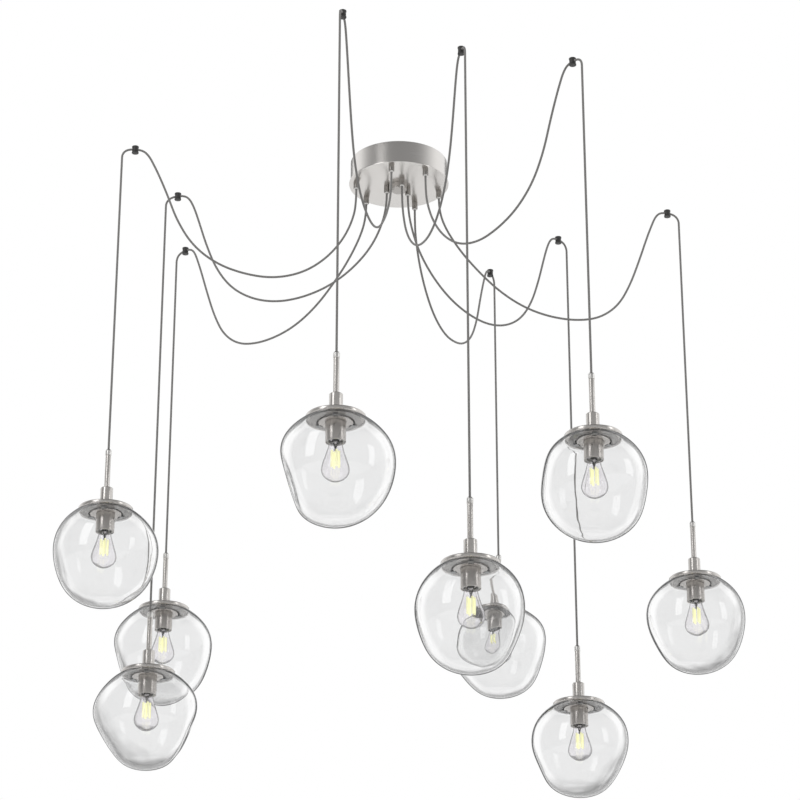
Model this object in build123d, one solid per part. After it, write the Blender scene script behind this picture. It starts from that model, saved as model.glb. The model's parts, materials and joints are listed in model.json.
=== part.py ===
from build123d import *
import math
import os

os.makedirs("parts", exist_ok=True)

# The ceiling is z = 0 and the canopy's axis is the origin. All lengths are millimetres.

# Canopy
drum_diameter = 220
drum_depth = 54
sheet = 1.6
lip_reach = 3
lip_thickness = 2.6
lip_chamfer = 0.8
bar_end_room = 15
bar_width = 26
bar_thickness = 2.5
box_screw_spacing = 88.9
box_screw_hole = 5.2
nipple_diameter = 10
thread_play = 0.1
cap_nut_diameter = 36
cap_nut_height = 16
cap_nut_dome = 4
block_length = 36
block_width = 22
block_height = 16
block_end_room = 3
block_wire_hole = 4
block_screw_hole = 3.2
block_pitch = 8

# Cord glands
cord_diameter = 4.8
cord_play = 0.3
gland_diameter = 13
gland_length = 15
gland_thread = 10
gland_thread_rise = 8
wire_hole = 3.8
locknut_across = 16
locknut_height = 3
bushing_diameter = 9.2
bushing_height = 3
bushing_chamfer = 0.8
gland_inset = 12.5
gland_to_cap_nut = 10.5
first_run = 28

# Swag holders
holder_diameter = 15.6
holder_groove = 0.8
holder_rim = 2.5
holder_slope = 1.75
holder_height = 16.5
holder_setback = 29
stud_hole = 4.2
stud_depth = 3.2
stud_floor = 1.3
cord_hole_depth = stud_depth + stud_floor + cord_diameter / 2 + cord_play
hinge_depth = 38.2
hinge_gap = 0.4

# Pendant, heights measured from the underside of its cap
cap_diameter = 116
cap_edge = 7
cap_chamfer = 1.5
cap_height = 11
cap_slope_start = 4.75
collar_diameter = 26.5
collar_top = 52.6
collar_chamfer = 1
rod_diameter = 11.6
rod_wall = 1.6
rod_seat = 12
rod_top = 128
ferrule_diameter = 13.2
ferrule_height = 13.4
ferrule_taper = 2.2
ferrule_taper_height = 3
cord_grip = 2
stem_nipple_rise = 15
stem_nipple_drop = 12
nipple_bore = 6.4

# Socket and the ring that carries the glass
cup_diameter = 39.5
cup_wall = 1.2
cup_top = 1.5
cup_height = 47
ring_play = 0.45
ring_diameter = 67.2
ring_below_glass = 1.8
tab_thickness = 1.5
tab_width = 10
tab_overlap = 8.4
tab_root = 3.6
gasket_thickness = 2
gasket_inset = 8
gasket_play = 1.4
lamp_holder_play = 0.35
lamp_holder_recess = 2
lamp_holder_neck = 24
lamp_holder_shoulder = 9
lamp_holder_rise = 3
lamp_well_depth = 33
lamp_base_diameter = 26.2
lamp_base_length = 28.7
lamp_base_play = 0.8
lamp_contact_play = 0.3

# Glass and bulb
globe_diameter = 224
globe_middle = 100
globe_crown = 118
glass_wall = 3
glass_play = 1
bulb_diameter = 54
bulb_length = 84
bulb_neck = 25.6
bulb_wall = 0.8
mount_stem = 6.4
mount_disc = 15
mount_disc_thickness = 1.4
filament_circle = 12
filament_thickness = 1.8

# Points on the bulb's outline as (share of its radius, share of its length from base to tip),
# and how far down the bulb the filament mount's two discs lie.
bulb_outline = [(0.593, 0.18), (0.852, 0.44), (1, 0.667), (0.76, 0.88)]
mount_upper = 0.226
mount_lower = 0.631

# Each route runs from below the gland to near the holder, as (distance from the canopy's axis,
# height).
middle_route = [
    (110, -140), (146, -193), (192, -240), (245, -283), (305, -313), (368, -326),
    (433, -325), (492, -309), (540, -270), (572, -212), (598, -144), (619, -84), (633, -48),
]
low_route = [
    (38, -145), (63, -200), (105, -248), (160, -286), (222, -307), (285, -312),
    (345, -297), (398, -262), (436, -208), (462, -143), (480, -86), (493, -47),
]
high_route = [
    (102, -140), (124, -197), (163, -250), (216, -290), (281, -308), (346, -302),
    (409, -281), (463, -240), (500, -181), (524, -117), (544, -70), (557, -43),
]

# Each group holds the gland's and the plumb line's distance from the axis, the cap's height
# and the route.
outer_port = drum_diameter / 2 - gland_inset
inner_port = cap_nut_diameter / 2 + gland_to_cap_nut
middle = (outer_port, 705, -922, middle_route)
low = (inner_port, 565, -1166, low_route)
high = (outer_port, 629, -880, high_route)

# The first number of a globe is its depth from centre to bottom. Each bulge or dent after it
# holds the direction round the globe and above its middle, the amount and the width in degrees.
pendants = [
    (20.2, middle, 114.5, [(172, -32, -0.1, 30), (8, -15, -0.08, 32), (180, 30, 0.05, 26),
                           (90, 0, -0.04, 25)]),
    (44.2, low, 110, [(172, -25, -0.115, 28), (15, -30, -0.15, 34), (345, 38, 0.04, 26),
                      (180, 40, 0.03, 25)]),
    (67.9, high, 110, [(160, -42, -0.09, 26), (8, -18, -0.11, 32), (350, 38, 0.08, 24)]),
    (140.2, middle, 122, [(174, -18, -0.13, 24), (8, -15, -0.03, 25), (350, 25, 0.05, 30),
                          (180, 25, 0.05, 25)]),
    (164.2, low, 113, [(8, -22, -0.17, 26), (20, -48, -0.08, 20), (165, -36, -0.17, 32),
                       (180, 12, 0.06, 26), (350, 30, 0.05, 25)]),
    (187.9, high, 114.5, [(330, -30, -0.09, 18), (170, -14, -0.08, 32), (0, 22, 0.05, 28),
                          (60, 10, -0.05, 25)]),
    (260.2, middle, 117, [(172, -18, -0.24, 28), (188, 35, 0.04, 25), (0, 27, 0.06, 30)]),
    (284.2, low, 117, [(8, -28, -0.13, 28), (0, 8, -0.05, 26), (170, -20, -0.06, 28)]),
    (307.9, high, 116, [(180, 12, -0.065, 28), (5, -10, -0.09, 28), (300, -25, -0.07, 20),
                        (185, 45, 0.03, 25)]),
]


def turned(*profile):
    """A solid turned about the vertical axis from (radius, height) corners."""
    corners = [(radius, 0, height) for radius, height in profile]
    return revolve(make_face(Polyline(*corners, close=True)), axis=Axis.Z)


def rod(diameter, bottom, top):
    return Pos(0, 0, bottom) * extrude(Circle(diameter / 2), top - bottom)


def around(shape, azimuth, radius):
    return Rot(0, 0, azimuth) * Pos(radius, 0, 0) * shape


def save(name, *shapes):
    solids = [solid for shape in shapes for solid in shape.solids()]
    whole = solids[0] if len(solids) == 1 else Compound(children=solids)
    export_step(whole, f"parts/{name}.step")


# Canopy cover: a shallow drum open at the ceiling, with a rolled lip round its lower edge
drum_radius = drum_diameter / 2
lip_top = lip_thickness - drum_depth
lip_radius = drum_radius + lip_reach
cover = turned(
    (drum_radius - sheet, 0),
    (drum_radius, 0),
    (drum_radius, lip_top),
    (lip_radius - lip_chamfer, lip_top),
    (lip_radius, lip_top - lip_chamfer),
    (lip_radius, lip_chamfer - drum_depth),
    (lip_radius - lip_chamfer, -drum_depth),
    (0, -drum_depth),
    (0, sheet - drum_depth),
    (drum_radius - sheet, sheet - drum_depth),
)
cover -= rod(nipple_diameter + 2 * thread_play, -drum_depth - 1, -sheet)
gland_hole = rod(gland_thread + 3 * thread_play, -drum_depth - 1, -sheet)
for azimuth, (port, plumb, cap, route), depth, dents in pendants:
    cover -= around(gland_hole, azimuth, port)
save("canopy_cover", cover)

# Ceiling bracket: a flat bar that screws to the outlet box, with a threaded stud at its centre
bar_length = drum_diameter - 2 * bar_end_room
bar = Pos(0, 0, -bar_thickness / 2) * Box(bar_length, bar_width, bar_thickness)
for side in (-1, 1):
    bar -= Pos(side * box_screw_spacing / 2, 0, 0) * rod(box_screw_hole, -bar_thickness - 1, 1)
nipple_end = -drum_depth - cap_nut_height + cap_nut_dome
save("ceiling_bracket", bar + rod(nipple_diameter, nipple_end, -bar_thickness / 2))

# Cap nut: closes the canopy on the bracket's stud
cap_nut_radius = cap_nut_diameter / 2
cap_nut_end = -drum_depth - cap_nut_height
cap_nut = turned(
    (0, -drum_depth),
    (cap_nut_radius, -drum_depth),
    (cap_nut_radius, cap_nut_end + cap_nut_dome),
    (cap_nut_radius - 0.3 * cap_nut_dome, cap_nut_end + 0.3 * cap_nut_dome),
    (cap_nut_radius - cap_nut_dome, cap_nut_end),
    (0, cap_nut_end),
)
cap_nut -= rod(nipple_diameter + 2 * thread_play, nipple_end - 1, 0)
save("canopy_cap_nut", cap_nut)

# Cord glands: threaded tubes through the canopy, each with a locknut above and a bushing below
gland_end = -drum_depth - gland_length
gland_rise = gland_thread_rise + sheet - drum_depth
gland = turned(
    (wire_hole / 2, gland_rise),
    (gland_thread / 2, gland_rise),
    (gland_thread / 2, -drum_depth),
    (gland_diameter / 2, -drum_depth),
    (gland_diameter / 2, gland_end),
    (wire_hole / 2, gland_end),
)
locknut = extrude(RegularPolygon(locknut_across / 2, 6, major_radius=False), locknut_height)
locknut -= rod(gland_thread + thread_play, -1, locknut_height + 1)
locknut = Pos(0, 0, sheet - drum_depth) * locknut
cord_bore = cord_diameter + 2 * cord_play
bushing = turned(
    (cord_bore / 2, gland_end),
    (bushing_diameter / 2, gland_end),
    (bushing_diameter / 2, gland_end - bushing_height + bushing_chamfer),
    (bushing_diameter / 2 - bushing_chamfer, gland_end - bushing_height),
    (cord_bore / 2, gland_end - bushing_height),
)
glands = []
for azimuth, (port, plumb, cap, route), depth, dents in pendants:
    for piece in (gland, locknut, bushing):
        glands.append(around(piece, azimuth, port))
save("cord_glands", *glands)

# Terminal block: hangs from the underside of the bracket's bar
block_centre = (bar_length - block_length) / 2 - block_end_room
block_middle = -bar_thickness - block_height / 2
block = Pos(block_centre, 0, block_middle) * Box(block_length, block_width, block_height)
for row in range(4):
    along = block_centre + (row - 1.5) * block_pitch
    block -= Pos(along, 0, block_middle) * Rot(90, 0, 0) * Cylinder(
        block_wire_hole / 2, block_width + 2
    )
    screw_hole = rod(block_screw_hole, -bar_thickness - block_height - 1, block_middle)
    block -= Pos(along, block_width / 4, 0) * screw_hole
save("terminal_block", block)

# Swag holders: small waisted barrels on the ceiling that the cords run through
holder_radius = holder_diameter / 2
holder_waist = holder_radius - holder_groove
lower_rim = holder_rim - holder_height
holder = turned(
    (0, 0),
    (holder_radius, 0),
    (holder_radius, -holder_rim),
    (holder_waist, -holder_rim - holder_slope),
    (holder_waist, lower_rim + holder_slope),
    (holder_radius, lower_rim),
    (holder_radius, -holder_height),
    (0, -holder_height),
)
cross_hole = Pos(0, 0, -cord_hole_depth) * Rot(0, 90, 0)
holder -= cross_hole * Cylinder(cord_bore / 2, holder_diameter + 2)
holder -= rod(stud_hole, -stud_depth, 1)
holders = []
for azimuth, (port, plumb, cap, route), depth, dents in pendants:
    holders.append(around(holder, azimuth, plumb - holder_setback))
save("swag_holders", *holders)


def cord_line(points):
    """Straight runs joined by arcs as wide as the runs beside them allow."""
    spots = [Vector(radius, 0, height) for radius, height in points]
    radii = []
    for before, corner, after in zip(spots, spots[1:], spots[2:]):
        arriving = corner - before
        leaving = after - corner
        half_turn = math.radians(arriving.get_angle(leaving)) / 2
        radii.append(0.45 * min(arriving.length, leaving.length) / math.tan(half_turn))
    runs = [(after - before).length for before, after in zip(spots, spots[1:])]
    print("bend radii", [round(radius) for radius in radii])
    print("runs", [round(run) for run in runs])
    return FilletPolyline(*spots, radius=radii)


def tube(line):
    section = Plane(origin=line @ 0, z_dir=line % 0) * Circle(cord_diameter / 2)
    cord = sweep(section, path=line)
    expected = math.pi * cord_diameter**2 / 4 * line.length
    print("cord", round(line.length, 1), "volume ratio", round(cord.volume / expected, 4))
    return cord


# Cords from the glands through the holders to the plumb lines
swags = {}
for port, plumb, cap, route in (middle, low, high):
    hole = plumb - holder_setback
    to_holder = [(hole - 31, -20.5), (hole - 16, -cord_hole_depth)]
    past_holder = [(hole + 16, -cord_hole_depth), (plumb, -19.5), (plumb, -hinge_depth + 0.2)]
    start = [(port, gland_end), (port, gland_end - first_run)]
    points = start + route + to_holder + past_holder
    swags[plumb] = tube(cord_line(points))

# Stem: cap, collar, rod and ferrule
cap_radius = cap_diameter / 2
collar_radius = collar_diameter / 2
rod_radius = rod_diameter / 2
nipple_clear = nipple_diameter / 2 + 2 * thread_play
shade_cap = turned(
    (nipple_clear, 0),
    (cap_radius, 0),
    (cap_radius, cap_edge - cap_chamfer),
    (cap_radius - cap_chamfer, cap_edge),
    (collar_radius + cap_slope_start, cap_height),
    (nipple_clear, cap_height),
)
rod_bottom = collar_top - rod_seat
collar = turned(
    (nipple_clear, cap_height),
    (collar_radius, cap_height),
    (collar_radius, collar_top - collar_chamfer),
    (collar_radius - collar_chamfer, collar_top),
    (rod_radius + thread_play, collar_top),
    (rod_radius + thread_play, rod_bottom),
    (nipple_clear, rod_bottom),
)
stem_rod = rod(rod_diameter, rod_bottom, rod_top)
stem_rod -= rod(rod_diameter - 2 * rod_wall, rod_bottom - 1, rod_top + 1)
grip = cord_bore / 2
ferrule_top = rod_top + ferrule_height
ferrule = turned(
    (grip, rod_top),
    (ferrule_diameter / 2, rod_top),
    (ferrule_diameter / 2, ferrule_top - ferrule_taper_height),
    (ferrule_diameter / 2 - ferrule_taper, ferrule_top),
    (grip, ferrule_top),
)

# Socket: gasket, retainer ring with three tabs, threaded nipple, cup and lamp holder
glass_hole = ring_diameter + 2 * glass_play
gasket = rod(cap_diameter - 2 * gasket_inset, -gasket_thickness, 0)
gasket -= rod(glass_hole + 2 * gasket_play, -gasket_thickness - 1, 1)
cup_radius = cup_diameter / 2
ring_bottom = -gasket_thickness - glass_wall - ring_below_glass
retainer = rod(ring_diameter, ring_bottom, 0)
tab_start = ring_diameter / 2 - tab_root
tab_end = glass_hole / 2 + tab_overlap
for direction in (30, 150, 270):
    tab = Box(tab_end - tab_start, tab_width, tab_thickness)
    tab = Pos((tab_start + tab_end) / 2, 0, ring_bottom + tab_thickness / 2) * tab
    retainer += Rot(0, 0, direction) * tab
retainer -= rod(cup_diameter + 2 * ring_play, ring_bottom - 1, 1)
nipple_top = cap_height + stem_nipple_rise
stem_nipple = rod(nipple_diameter, -stem_nipple_drop, nipple_top)
stem_nipple -= rod(nipple_bore, -stem_nipple_drop - 1, nipple_top + 1)
cup = turned(
    (nipple_clear, 0),
    (cup_radius, 0),
    (cup_radius, -cup_height),
    (cup_radius - cup_wall, -cup_height),
    (cup_radius - cup_wall, -cup_top),
    (nipple_clear, -cup_top),
)
base_radius = lamp_base_diameter / 2
lamp_seat = lamp_well_depth - cup_height
lamp_holder_radius = cup_radius - cup_wall - lamp_holder_play
lamp_holder_bore = base_radius + lamp_base_play
neck_bore = nipple_diameter / 2 + thread_play
lamp_holder = turned(
    (neck_bore, -lamp_holder_rise),
    (lamp_holder_neck / 2, -lamp_holder_rise),
    (lamp_holder_neck / 2, -lamp_holder_shoulder),
    (lamp_holder_radius, -lamp_holder_shoulder),
    (lamp_holder_radius, lamp_holder_recess - cup_height),
    (lamp_holder_bore, lamp_holder_recess - cup_height),
    (lamp_holder_bore, lamp_seat),
    (neck_bore, lamp_seat),
)

# Bulb: screw base, filament mount and envelope
base_top = lamp_seat - lamp_contact_play
base_bottom = base_top - lamp_base_length
screw_base = turned(
    (0, base_top),
    (0.38 * base_radius, base_top),
    (0.72 * base_radius, base_top - 3.7),
    (base_radius, base_top - 5.2),
    (base_radius, base_bottom + 2),
    (bulb_neck / 2 - bulb_wall, base_bottom),
    (0, base_bottom),
)
upper = base_bottom - mount_upper * bulb_length
lower = base_bottom - mount_lower * bulb_length
mount = rod(mount_stem, upper, base_bottom) + rod(filament_thickness, lower, upper)
for level in (upper, lower):
    mount += rod(mount_disc, level - mount_disc_thickness / 2, level + mount_disc_thickness / 2)
for direction in (0, 90, 180, 270):
    filament = Pos(filament_circle / 2, 0, 0) * rod(filament_thickness, lower, upper)
    mount += Rot(0, 0, direction) * filament


def bulb_shape(shrink):
    """The envelope's solid shape, made smaller all round by the wall's thickness."""
    belly = bulb_diameter / 2
    neck = (bulb_neck / 2 - shrink, 0, base_bottom)
    tip = (0, 0, base_bottom - bulb_length + shrink)
    spots = [(belly * wide - shrink, 0, base_bottom - bulb_length * down)
             for wide, down in bulb_outline]
    outline = Spline(neck, *spots, tip, tangents=[(0, 0, -1), (-1, 0, 0)])
    closing = Polyline(tip, (0, 0, base_bottom), neck)
    return revolve(make_face(Curve() + [outline, closing]), axis=Axis.Z)


envelope = bulb_shape(0) - bulb_shape(bulb_wall)


def globe_swell(side, lift, dents):
    """How much wider than round the globe is in one direction."""
    swell = 1
    for dent_side, dent_lift, amount, width in dents:
        turned_by = math.cos(math.radians(side - dent_side))
        level = math.cos(math.radians(lift)) * math.cos(math.radians(dent_lift)) * turned_by
        upright = math.sin(math.radians(lift)) * math.sin(math.radians(dent_lift))
        angle = math.degrees(math.acos(max(-1, min(1, level + upright))))
        swell += amount * math.exp(-((angle / width) ** 2))
    return swell


def globe_shape(depth, dents, shrink):
    """A blown globe's solid shape: level outlines from the flat crown to the bottom."""
    radius = globe_diameter / 2
    outer_top = globe_middle - gasket_thickness
    rise = outer_top / math.sin(math.acos(globe_crown / globe_diameter))
    crown = math.degrees(math.asin((outer_top - shrink) / (rise - shrink)))
    outlines = []
    for step in range(10):
        lift = crown - (crown + 80) * step / 9
        height = (rise if lift > 0 else depth) - shrink
        spots = []
        for side in range(0, 360, 24):
            reach = (radius - shrink) * globe_swell(side, lift, dents)
            reach *= math.cos(math.radians(lift))
            spots.append((
                reach * math.cos(math.radians(side)),
                reach * math.sin(math.radians(side)),
                height * math.sin(math.radians(lift)) - globe_middle,
            ))
        outlines.append(make_face(Spline(*spots, periodic=True)))
    return loft(outlines)


for number, (azimuth, (port, plumb, cap, route), depth, dents) in enumerate(pendants, 1):
    turn = Rot(0, 0, azimuth)
    centre = turn * Pos(plumb, 0, cap)
    spot = Pos(centre.position)
    save(f"cord_swag_{number}", turn * swags[plumb])
    drop_top = -hinge_depth - hinge_gap / 2
    drop_end = cap + rod_top + cord_grip
    drop_cord = Pos(spot.position.X, spot.position.Y, 0) * rod(cord_diameter, drop_end, drop_top)
    save(f"cord_drop_{number}", drop_cord)
    print("drop", number, round(drop_top - drop_end, 1))
    save(f"stem_{number}", *[spot * piece for piece in (ferrule, stem_rod, collar, shade_cap)])
    glass = globe_shape(depth, dents, 0) - globe_shape(depth, dents, glass_wall)
    glass -= rod(glass_hole, -gasket_thickness - 2 * glass_wall, 0)
    save(f"glass_{number}", spot * glass)
    socket = (gasket, retainer, stem_nipple, cup, lamp_holder)
    save(f"socket_{number}", *[spot * piece for piece in socket])
    save(f"bulb_{number}", *[spot * piece for piece in (screw_base, mount, envelope)])
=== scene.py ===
from collections import namedtuple
import json
import math

import bmesh
import bpy
from mathutils import Matrix, Vector


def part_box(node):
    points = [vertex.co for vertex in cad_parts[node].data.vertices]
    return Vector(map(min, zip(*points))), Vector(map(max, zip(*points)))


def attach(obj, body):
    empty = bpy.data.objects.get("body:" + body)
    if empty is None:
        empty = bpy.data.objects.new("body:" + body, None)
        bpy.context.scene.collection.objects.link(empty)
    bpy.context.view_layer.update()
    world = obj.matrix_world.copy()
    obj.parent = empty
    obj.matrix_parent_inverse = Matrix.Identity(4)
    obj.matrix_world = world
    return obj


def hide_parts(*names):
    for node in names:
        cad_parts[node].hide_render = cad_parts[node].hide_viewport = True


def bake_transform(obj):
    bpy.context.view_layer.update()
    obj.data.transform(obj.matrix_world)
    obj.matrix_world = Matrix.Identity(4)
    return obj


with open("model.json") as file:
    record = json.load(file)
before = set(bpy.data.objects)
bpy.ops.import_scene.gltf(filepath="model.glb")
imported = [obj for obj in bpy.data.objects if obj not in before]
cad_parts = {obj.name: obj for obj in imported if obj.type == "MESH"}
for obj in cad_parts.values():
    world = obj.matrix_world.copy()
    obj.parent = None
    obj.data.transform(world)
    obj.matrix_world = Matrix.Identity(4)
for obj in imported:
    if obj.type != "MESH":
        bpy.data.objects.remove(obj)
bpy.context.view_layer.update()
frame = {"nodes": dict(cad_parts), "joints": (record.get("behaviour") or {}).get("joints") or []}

# Viewpoint, light and floor. The camera stands far below the fitting and looks up at it through a
# long lens. The floor is plain and pale, the light soft. Metal and glass see a white backdrop in a
# dark frame that draws the edges of the glass, a grey card at the left, and a grey ceiling and wall.
middle_of_cluster = Vector((0, 0, -0.62))
looking_up = 23.056
floor_height = -3.3
floor_reach = 30.0
floor_glow = 0.22
straight_behind = (0, 0.92, 0.392)
to_the_left = (-0.95, -0.25, 0.2)
frame_grey = 0.2
light_from_sky = 0.72

lens = bpy.data.cameras.new("viewpoint")
lens.sensor_width = 36.0
lens.lens = 120.36
viewpoint = bpy.data.objects.new("viewpoint", lens)
viewpoint.location = (0.0026, -5.4121, -2.8895)
viewpoint.rotation_euler = (math.radians(90 + looking_up), 0, 0)
bpy.context.scene.collection.objects.link(viewpoint)
bpy.context.scene.camera = viewpoint
bpy.context.scene.view_settings.view_transform = "Standard"


def material(name):
    """An empty material with its Principled shader and output, ready for nodes."""
    made = bpy.data.materials.new(name)
    made.use_nodes = True
    made.node_tree.nodes.clear()
    shader = made.node_tree.nodes.new("ShaderNodeBsdfPrincipled")
    output = made.node_tree.nodes.new("ShaderNodeOutputMaterial")
    made.node_tree.links.new(shader.outputs[0], output.inputs["Surface"])
    return made, made.node_tree, shader


def node(tree, kind, settings=None, **inputs):
    """Adds a node, sets its properties and its inputs. A socket given as an input is linked."""
    made = tree.nodes.new(kind)
    for name, value in (settings or {}).items():
        setattr(made, name, value)
    for name, value in inputs.items():
        place = int(name[1:]) if name[1:].isdigit() else name.replace("_", " ")
        if isinstance(value, bpy.types.NodeSocket):
            tree.links.new(value, made.inputs[place])
        else:
            made.inputs[place].default_value = value
    return made


def maths(tree, operation, *values):
    """A Math node's result. Each value is a number, or a socket that is linked."""
    inputs = {f"i{place}": value for place, value in enumerate(values)}
    return node(tree, "ShaderNodeMath", {"operation": operation}, **inputs).outputs[0]


def mixed(tree, share, first, second):
    """The colour between two colours, each of them given or linked."""
    mix = node(tree, "ShaderNodeMix", {"data_type": "RGBA"}, Factor=share, A=first, B=second)
    return mix.outputs["Result"]


def shared_effect(name, inputs, outputs):
    """A shader node group with named inputs and outputs, for an effect that materials share."""
    tree = bpy.data.node_groups.new(name, "ShaderNodeTree")
    for way, sockets in (("INPUT", inputs), ("OUTPUT", outputs)):
        for socket, kind in sockets:
            tree.interface.new_socket(socket, in_out=way, socket_type=f"NodeSocket{kind}")
    return tree, tree.nodes.new("NodeGroupInput").outputs, tree.nodes.new("NodeGroupOutput").inputs


speckling, given, out = shared_effect(
    "speckling", [("Position", "Vector"), ("Scale", "Float"), ("Detail", "Float"),
                  ("Dark", "Color"), ("Light", "Color")],
    [("Colour", "Color"), ("Speckle", "Float")])
noise = node(speckling, "ShaderNodeTexNoise", Vector=given["Position"], Scale=given["Scale"],
             Detail=given["Detail"]).outputs["Fac"]
speckling.links.new(noise, out["Speckle"])
speckling.links.new(mixed(speckling, noise, given["Dark"], given["Light"]), out["Colour"])


def speckled(tree, shader, scale, detail, dark, light, sockets=("Base Color",)):
    """Gives the sockets a colour that wanders between two tones, and returns the speckle."""
    spots = node(tree, "ShaderNodeTexCoord").outputs["Object"]
    speckle = node(tree, "ShaderNodeGroup", {"node_tree": speckling}, Position=spots, Scale=scale,
                   Detail=detail, Dark=(*dark, 1), Light=(*light, 1)).outputs
    for socket in sockets:
        tree.links.new(speckle["Colour"], shader.inputs[socket])
    return speckle["Speckle"]


def softbox(name, azimuth, lift, distance, width, height, strength):
    """A lamp like a studio softbox, which faces the cluster from one direction."""
    lamp = bpy.data.lights.new(name, "AREA")
    lamp.shape = "RECTANGLE"
    lamp.size = width
    lamp.size_y = height
    lamp.energy = strength * math.pi * width * height
    spot = bpy.data.objects.new(name, lamp)
    side, up = math.radians(azimuth), math.radians(lift)
    away = Vector((math.cos(side) * math.cos(up), math.sin(side) * math.cos(up), math.sin(up)))
    spot.location = middle_of_cluster + away * distance
    spot.rotation_euler = (-away).to_track_quat("-Z", "Y").to_euler()
    bpy.context.scene.collection.objects.link(spot)


softbox("key_softbox", 226, 24, 4.6, 1.4, 3.6, 2.1)
softbox("side_softbox", 335, 10, 4.5, 1.0, 2.4, 1.6)
softbox("low_fill", 262, -42, 5.5, 2.6, 1.6, 0.7)

world = bpy.data.worlds.new("studio")
bpy.context.scene.world = world
world.use_nodes = True
studio = world.node_tree
studio.nodes.clear()
ray = node(studio, "ShaderNodeLightPath").outputs
direction = node(studio, "ShaderNodeTexCoord").outputs["Generated"]
heading = node(studio, "ShaderNodeSeparateXYZ", i0=direction).outputs
ceiling_grey = node(studio, "ShaderNodeMapRange", {"interpolation_type": "SMOOTHSTEP"},
                    Value=heading["Z"], From_Min=0.66, From_Max=0.84, To_Min=1.0, To_Max=0.14)
wall_grey = node(studio, "ShaderNodeMapRange", {"interpolation_type": "SMOOTHSTEP"},
                 Value=heading["Y"], From_Min=0.35, From_Max=-0.55, To_Min=1.0, To_Max=0.42)
shown = maths(studio, "MULTIPLY", ceiling_grey.outputs[0], wall_grey.outputs[0])
# Each card has its direction, how near to that direction it starts and is full, and its grey.
# The last one lights the middle of the dark frame up again.
grey_card = (to_the_left, 0.72, 0.9, 0.55)
dark_frame = (straight_behind, 0.90, 0.92, frame_grey)
backdrop = (straight_behind, 0.975, 0.985, 1 / frame_grey)
for towards, start, full, grey in (grey_card, dark_frame, backdrop):
    nearness = node(studio, "ShaderNodeVectorMath", {"operation": "DOT_PRODUCT"}, i0=direction,
                    i1=towards)
    card_grey = node(studio, "ShaderNodeMapRange", Value=nearness.outputs["Value"], From_Min=start,
                     From_Max=full, To_Min=1.0, To_Max=grey)
    shown = maths(studio, "MULTIPLY", shown, card_grey.outputs[0])
mirrored = maths(studio, "MAXIMUM", ray["Is Glossy Ray"], ray["Is Transmission Ray"])
brightness = node(studio, "ShaderNodeMix", i0=mirrored, i2=light_from_sky, i3=shown).outputs[0]
brightness = node(studio, "ShaderNodeMix", i0=ray["Is Camera Ray"], i2=brightness, i3=1.0).outputs[0]
sky = node(studio, "ShaderNodeBackground", Color=(1, 1, 1, 1), Strength=brightness)
node(studio, "ShaderNodeOutputWorld", Surface=sky.outputs[0])

floor_material, tree, shader = material("pale_floor")
shader.inputs["Roughness"].default_value = 0.8
speckled(tree, shader, 2.0, 3.0, (0.86, 0.86, 0.86), (0.9, 0.9, 0.9))
ray = node(tree, "ShaderNodeLightPath").outputs
seen = maths(tree, "MAXIMUM", ray["Is Glossy Ray"], ray["Is Transmission Ray"])
seen = maths(tree, "MAXIMUM", seen, ray["Is Camera Ray"])
shader.inputs["Emission Color"].default_value = (1, 1, 1, 1)
tree.links.new(maths(tree, "MULTIPLY", seen, floor_glow), shader.inputs["Emission Strength"])
floor_mesh = bpy.data.meshes.new("floor")
corners = [(-floor_reach, -floor_reach), (floor_reach, -floor_reach),
           (floor_reach, floor_reach), (-floor_reach, floor_reach)]
floor_mesh.from_pydata([(x, y, floor_height) for x, y in corners], [], [(0, 1, 2, 3)])
floor_mesh.materials.append(floor_material)
floor = bpy.data.objects.new("floor", floor_mesh)
bpy.context.scene.collection.objects.link(floor)


# Cords: braided cloth round an electric cord, one length for each pendant. Each leaves its gland
# straight down, swags out and up through its holder, and drops plumb to the ferrule.
mm = 0.001
cord_diameter = 4.8 * mm
gland_end = -69
first_run = 28
holder_setback = 29
cord_hole_depth = 7.2
hole_approach = 31
approach_depth = 20.5
hole_straight = 16
leaving_depth = 19.5
hinge_depth = 38.2
rod_top = 128
cord_grip = 2

# Each route is a row of (distance from the axis, height) points in millimetres, from the end of
# the first straight run to the holder. It belongs to one distance of the plumb line from the axis.
middle_route = [
    (110, -140), (146, -193), (192, -240), (245, -283), (305, -313), (368, -326),
    (433, -325), (492, -309), (540, -270), (572, -212), (598, -144), (619, -84), (633, -48),
]
low_route = [
    (38, -145), (63, -200), (105, -248), (160, -286), (222, -307), (285, -312),
    (345, -297), (398, -262), (436, -208), (462, -143), (480, -86), (493, -47),
]
high_route = [
    (102, -140), (124, -197), (163, -250), (216, -290), (281, -308), (346, -302),
    (409, -281), (463, -240), (500, -181), (524, -117), (544, -70), (557, -43),
]
outer_port = 97.5
inner_port = 28.5
routes = {705: (outer_port, middle_route), 565: (inner_port, low_route), 629: (outer_port, high_route)}


def plain_mesh(obj):
    """The object's mesh as its modifiers leave it, as a new plain mesh."""
    bpy.context.view_layer.update()
    shown_as = obj.evaluated_get(bpy.context.evaluated_depsgraph_get())
    return bpy.data.meshes.new_from_object(shown_as)


def piece(name, mesh, body, slot, *nodes):
    """A finished piece at the origin that rides on its body and stands for its CAD nodes."""
    made = bpy.data.objects.new(name, mesh)
    bpy.context.scene.collection.objects.link(made)
    if body:
        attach(made, body)
    if nodes:
        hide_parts(*nodes)
    return made


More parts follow.
